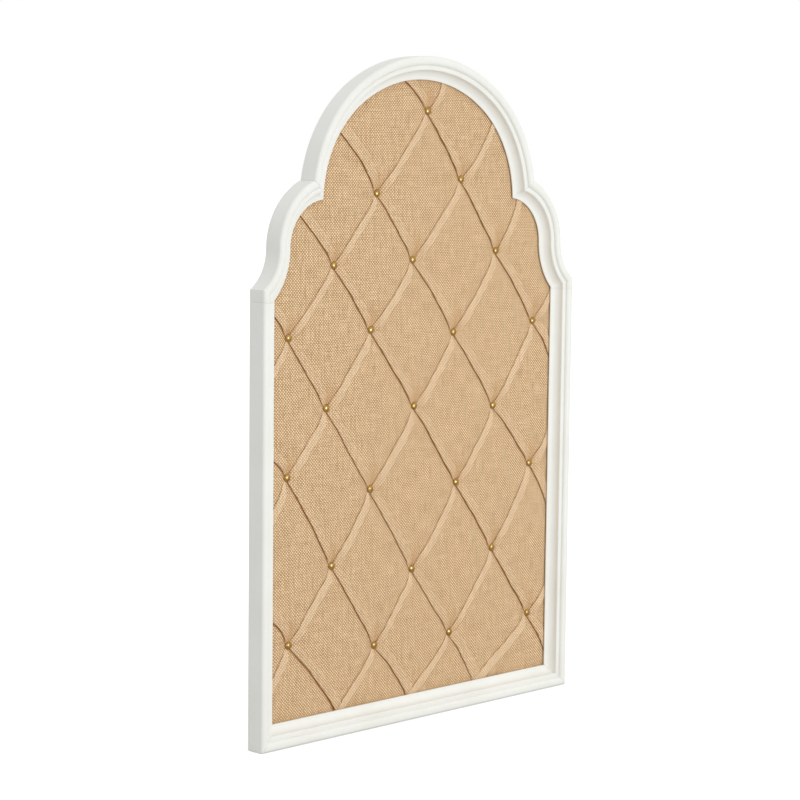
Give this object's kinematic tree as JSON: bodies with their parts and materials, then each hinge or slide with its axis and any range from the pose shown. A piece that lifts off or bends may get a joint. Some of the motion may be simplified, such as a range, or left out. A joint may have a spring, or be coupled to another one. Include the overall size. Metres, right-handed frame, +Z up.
{
  "type": "french memo board",
  "caption": "Arched wall memo board: white moulded frame with ogee shoulders round a padded burlap panel, pleated in diamonds and held by domed brass nails.",
  "frame": {"origin": "middle of the board's box", "axes": "+Z up the board, +X to the viewer's right, the burlap face looks along -Y and the wall is on the +Y side"},
  "size_m": [0.5994, 0.0356, 0.9144],
  "materials": {
    "painted_wood": "satin white paint",
    "beech": "bare",
    "plywood": "bare",
    "burlap": "coarse plain weave",
    "foam": "soft wadding",
    "brass": "polished",
    "zinc": "zinc plated",
    "felt": "felt"
  },
  "bodies": {
    "board": {"left_stile": "painted_wood", "right_stile": "painted_wood", "bottom_rail": "painted_wood", "left_shoulder": "painted_wood", "right_shoulder": "painted_wood", "crown_arch": "painted_wood", "left_bottom_biscuit": "beech", "left_seam_biscuit": "beech", "left_cusp_biscuit": "beech", "right_bottom_biscuit": "beech", "right_seam_biscuit": "beech", "right_cusp_biscuit": "beech", "back_panel": "plywood", "foam_pad": "foam", "burlap_cover": "burlap", "nail_01": "brass", "nail_02": "brass", "nail_03": "brass", "nail_04": "brass", "nail_05": "brass", "nail_06": "brass", "nail_07": "brass", "nail_08": "brass", "nail_09": "brass", "nail_10": "brass", "nail_11": "brass", "nail_12": "brass", "nail_13": "brass", "nail_14": "brass", "nail_15": "brass", "nail_16": "brass", "nail_17": "brass", "nail_18": "brass", "nail_19": "brass", "nail_20": "brass", "nail_21": "brass", "nail_22": "brass", "nail_23": "brass", "nail_24": "brass", "panel_screw_01": "zinc", "panel_screw_02": "zinc", "panel_screw_03": "zinc", "panel_screw_04": "zinc", "panel_screw_05": "zinc", "panel_screw_06": "zinc", "panel_screw_07": "zinc", "panel_screw_08": "zinc", "panel_screw_09": "zinc", "panel_screw_10": "zinc", "left_hanger_strap": "zinc", "left_hanger_screw": "zinc", "left_bumper": "felt", "right_hanger_strap": "zinc", "right_hanger_screw": "zinc", "right_bumper": "felt"},
    "left_ring": {"left_hanger_ring": "zinc"},
    "right_ring": {"right_hanger_ring": "zinc"}
  },
  "joints": [
    {"name": "left_ring_hinge", "type": "hinge", "parent": "board", "child": "left_ring", "pos_m": [-0.2807, 0.01575, 0.08271], "axis": [1, 0, 0], "range_deg": [0, 180]},
    {"name": "right_ring_hinge", "type": "hinge", "parent": "board", "child": "right_ring", "pos_m": [0.2807, 0.01575, 0.08271], "axis": [1, 0, 0], "range_deg": [0, 180]}
  ]
}
